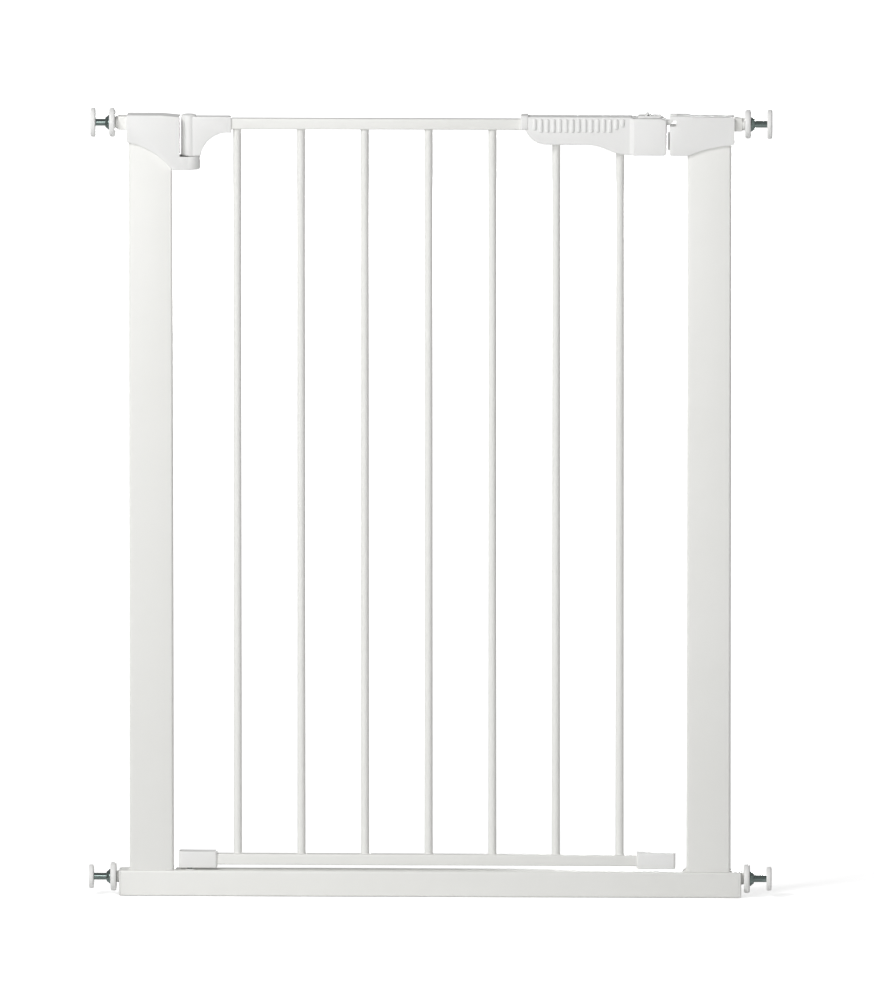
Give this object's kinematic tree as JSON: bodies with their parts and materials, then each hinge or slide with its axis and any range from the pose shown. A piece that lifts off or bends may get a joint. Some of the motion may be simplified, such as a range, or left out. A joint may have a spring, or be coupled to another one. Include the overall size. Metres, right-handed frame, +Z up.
{
  "type": "safety gate",
  "caption": "White steel pressure-mounted safety gate: U-frame, bar door on hinge pins, slide-and-lift latch handle, and screw spindles with wall pads.",
  "frame": {"origin": "on the floor, midway between the posts and midway through the gate's depth", "axes": "+X along the threshold towards the latch side, +Y through the gate away from the viewer, +Z up"},
  "size_m": [0.797, 0.034, 0.9242],
  "materials": {
    "white_powder_coat": "white powder coat on steel tube, semi-gloss, faint orange peel",
    "white_moulding": "white injection-moulded nylon, fine satin texture",
    "bush_plastic": "off-white acetal, smooth",
    "pad_rubber": "white soft thermoplastic rubber, matte",
    "zinc_steel": "bright zinc plating on steel"
  },
  "bodies": {
    "frame": {"threshold_rail": "white_powder_coat", "left_post": "white_powder_coat", "right_post": "white_powder_coat", "left_stub_tube": "white_powder_coat", "right_stub_tube": "white_powder_coat", "left_foot_welds": "white_powder_coat", "right_foot_welds": "white_powder_coat", "left_rail_plug": "bush_plastic", "right_rail_plug": "bush_plastic", "left_stub_plug": "bush_plastic", "right_stub_plug": "bush_plastic", "hinge_housing_front": "white_moulding", "hinge_housing_rear": "white_moulding", "hinge_housing_screws": "zinc_steel", "hinge_cup_bush": "bush_plastic", "strike_housing_front": "white_moulding", "strike_housing_rear": "white_moulding", "strike_housing_screws": "zinc_steel", "lower_pivot_bush": "bush_plastic"},
    "hinge_pins": {"upper_hinge_pin": "zinc_steel", "lower_pivot_pin": "zinc_steel"},
    "door": {"door_top_rail": "white_powder_coat", "door_bottom_rail": "white_powder_coat", "door_bar_1": "white_powder_coat", "door_bar_2": "white_powder_coat", "door_bar_3": "white_powder_coat", "door_bar_4": "white_powder_coat", "door_bar_5": "white_powder_coat", "door_bar_6": "white_powder_coat", "door_bar_7": "white_powder_coat", "door_hinge_bracket": "white_moulding", "hinge_foot_cap": "white_moulding", "latch_foot_cap": "white_moulding", "handle_shell_front": "white_moulding", "handle_shell_rear": "white_moulding", "handle_screws": "zinc_steel"},
    "thumb_latch": {"thumb_slide": "white_moulding", "latch_tongue": "white_moulding", "latch_spring": "zinc_steel"},
    "upper_left_screw": {"upper_left_spindle": "zinc_steel", "upper_left_pad": "pad_rubber"},
    "upper_left_hand_wheel": {"upper_left_wheel": "white_moulding", "upper_left_nut": "zinc_steel"},
    "lower_left_screw": {"lower_left_spindle": "zinc_steel", "lower_left_pad": "pad_rubber"},
    "lower_left_hand_wheel": {"lower_left_wheel": "white_moulding", "lower_left_nut": "zinc_steel"},
    "upper_right_screw": {"upper_right_spindle": "zinc_steel", "upper_right_pad": "pad_rubber"},
    "upper_right_hand_wheel": {"upper_right_wheel": "white_moulding", "upper_right_nut": "zinc_steel"},
    "lower_right_screw": {"lower_right_spindle": "zinc_steel", "lower_right_pad": "pad_rubber"},
    "lower_right_hand_wheel": {"lower_right_wheel": "white_moulding", "lower_right_nut": "zinc_steel"}
  },
  "joints": [
    {"name": "door_swing", "type": "hinge", "parent": "frame", "child": "hinge_pins", "pos_m": [-0.2806, 0, 0.45], "axis": [0, 0, 1], "range_deg": [-90, 90]},
    {"name": "door_lift", "type": "slide", "parent": "hinge_pins", "child": "door", "axis": [0, 0, 1], "range_m": [0, 0.008]},
    {"name": "latch_slide", "type": "slide", "parent": "door", "child": "thumb_latch", "axis": [-1, 0, 0], "range_m": [0, 0.008], "stiffness_N_per_m": 300, "springref_m": -0.004, "deforming": ["latch_spring"]},
    {"name": "upper_left_wheel_turn", "type": "hinge", "parent": "frame", "child": "upper_left_hand_wheel", "pos_m": [-0.37, 0, 0.9072], "axis": [1, 0, 0], "range_deg": [-3169, 5761]},
    {"name": "upper_left_screw_feed", "type": "slide", "parent": "frame", "child": "upper_left_screw", "axis": [-1, 0, 0], "range_m": [-0.011, 0.02]},
    {"name": "lower_left_wheel_turn", "type": "hinge", "parent": "frame", "child": "lower_left_hand_wheel", "pos_m": [-0.37, 0, 0.021], "axis": [1, 0, 0], "range_deg": [-3169, 5761]},
    {"name": "lower_left_screw_feed", "type": "slide", "parent": "frame", "child": "lower_left_screw", "axis": [-1, 0, 0], "range_m": [-0.011, 0.02]},
    {"name": "upper_right_wheel_turn", "type": "hinge", "parent": "frame", "child": "upper_right_hand_wheel", "pos_m": [0.37, 0, 0.9072], "axis": [-1, 0, 0], "range_deg": [-3169, 5761]},
    {"name": "upper_right_screw_feed", "type": "slide", "parent": "frame", "child": "upper_right_screw", "axis": [1, 0, 0], "range_m": [-0.011, 0.02]},
    {"name": "lower_right_wheel_turn", "type": "hinge", "parent": "frame", "child": "lower_right_hand_wheel", "pos_m": [0.37, 0, 0.021], "axis": [-1, 0, 0], "range_deg": [-3169, 5761]},
    {"name": "lower_right_screw_feed", "type": "slide", "parent": "frame", "child": "lower_right_screw", "axis": [1, 0, 0], "range_m": [-0.011, 0.02]}
  ],
  "couplings": [
    {"joint": "upper_left_wheel_turn", "follows": "upper_left_screw_feed", "rad_per_m": 5026.5},
    {"joint": "lower_left_wheel_turn", "follows": "lower_left_screw_feed", "rad_per_m": 5026.5},
    {"joint": "upper_right_wheel_turn", "follows": "upper_right_screw_feed", "rad_per_m": 5026.5},
    {"joint": "lower_right_wheel_turn", "follows": "lower_right_screw_feed", "rad_per_m": 5026.5}
  ]
}
